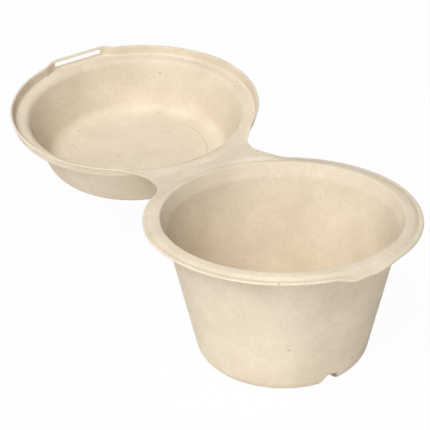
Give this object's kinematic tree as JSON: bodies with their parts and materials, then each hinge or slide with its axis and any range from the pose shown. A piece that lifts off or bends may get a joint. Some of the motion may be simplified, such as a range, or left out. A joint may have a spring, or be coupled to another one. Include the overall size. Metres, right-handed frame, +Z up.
{
  "type": "hinged lid portion cup",
  "caption": "Round moulded-pulp portion cup with a shallow lid joined by a folding web, standing open; a slotted flap on the lid closes over a tab on the cup.",
  "frame": {"origin": "centre of the flat face that the cup stands on", "axes": "+Z up along the cup's axis, X along the fold between cup and lid, +Y from the cup towards the open lid, with the closing tab at -Y"},
  "size_m": [0.0827, 0.166, 0.0597],
  "materials": {
    "cup_pulp": "matte",
    "lid_pulp": "matte"
  },
  "bodies": {
    "cup": {"base": "cup_pulp"},
    "cover": {"lid": "lid_pulp"}
  },
  "joints": [
    {"name": "fold", "type": "hinge", "parent": "cup", "child": "cover", "pos_m": [0, 0.04188, 0.0454], "axis": [0.9992, 0, 0.0393], "range_deg": [-7, 171]}
  ]
}
